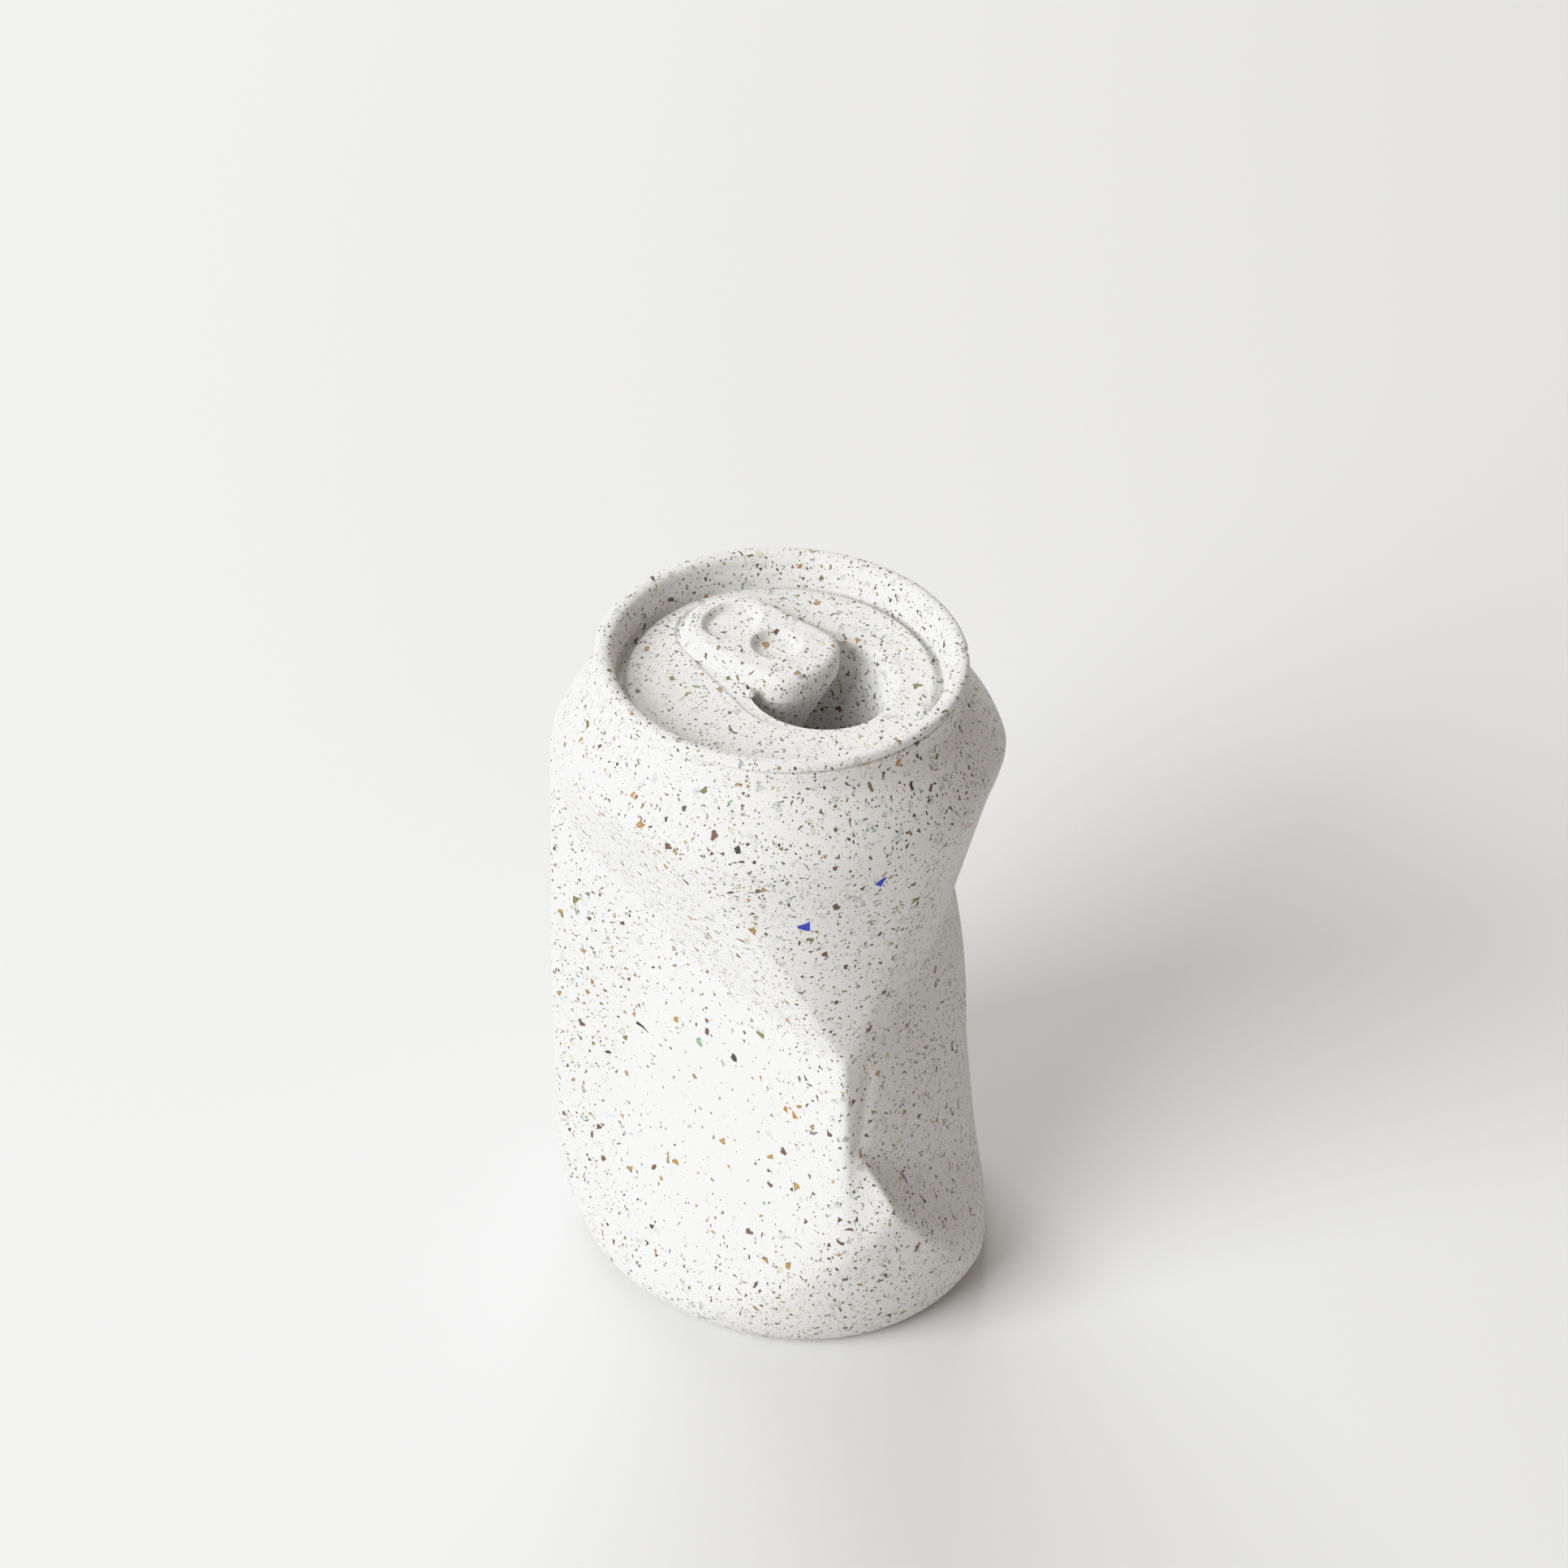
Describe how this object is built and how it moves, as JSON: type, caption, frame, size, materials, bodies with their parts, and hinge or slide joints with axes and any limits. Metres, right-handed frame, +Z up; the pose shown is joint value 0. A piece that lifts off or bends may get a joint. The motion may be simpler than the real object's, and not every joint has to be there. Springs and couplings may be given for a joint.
{
  "type": "crushed can vase",
  "caption": "Vase cast as a crushed drinks can, white composite speckled with coloured chips; the drinking mouth opens into a hollow for a stem.",
  "frame": {"origin": "on the flat underside, on the axis of the can before it was crushed", "axes": "+Z up through the lid, -Y towards the front with the deep pinch, +X to the right of it"},
  "size_m": [0.0696, 0.0702, 0.1134],
  "materials": {
    "speckled_composite": "matte warm white cast mineral composite, finely pitted, with small grey, brown, amber, green and a few blue chips"
  },
  "bodies": {
    "root": {"cast_can": "speckled_composite"}
  },
  "joints": []
}
